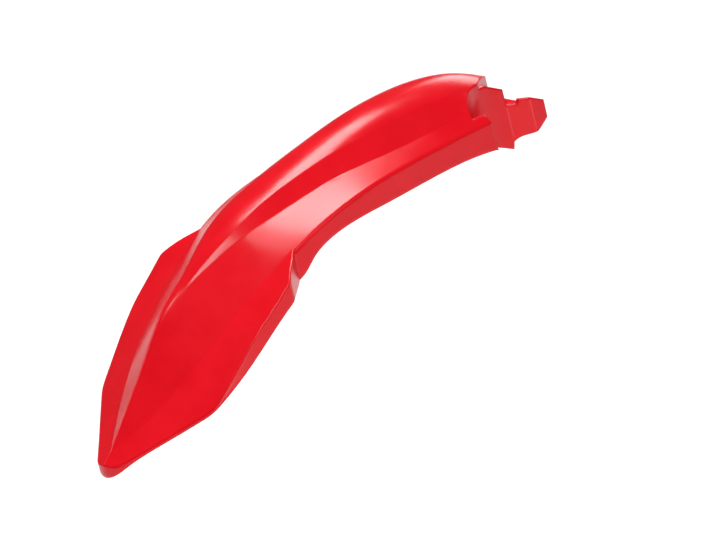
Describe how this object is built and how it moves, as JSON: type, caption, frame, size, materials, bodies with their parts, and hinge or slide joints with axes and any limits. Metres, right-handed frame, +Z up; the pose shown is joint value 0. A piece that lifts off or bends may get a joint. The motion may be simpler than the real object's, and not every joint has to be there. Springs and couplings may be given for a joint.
{
  "type": "motorcycle front mudguard",
  "caption": "One-piece moulded front mudguard for an off-road motorcycle: a ridged beak with wing panels, a channel over the wheel, fork-leg recesses and a bolt-on tail platform.",
  "frame": {"origin": "centre of the four mounting bolts, on the top face of the tail platform", "axes": "+Z up along the steering axis, -Y forward to the nose, +X to the rider's left"},
  "size_m": [0.2184, 0.6008, 0.2456],
  "materials": {
    "shell": "gloss moulded red polypropylene"
  },
  "bodies": {
    "root": {"front_mudguard": "shell"}
  },
  "joints": []
}
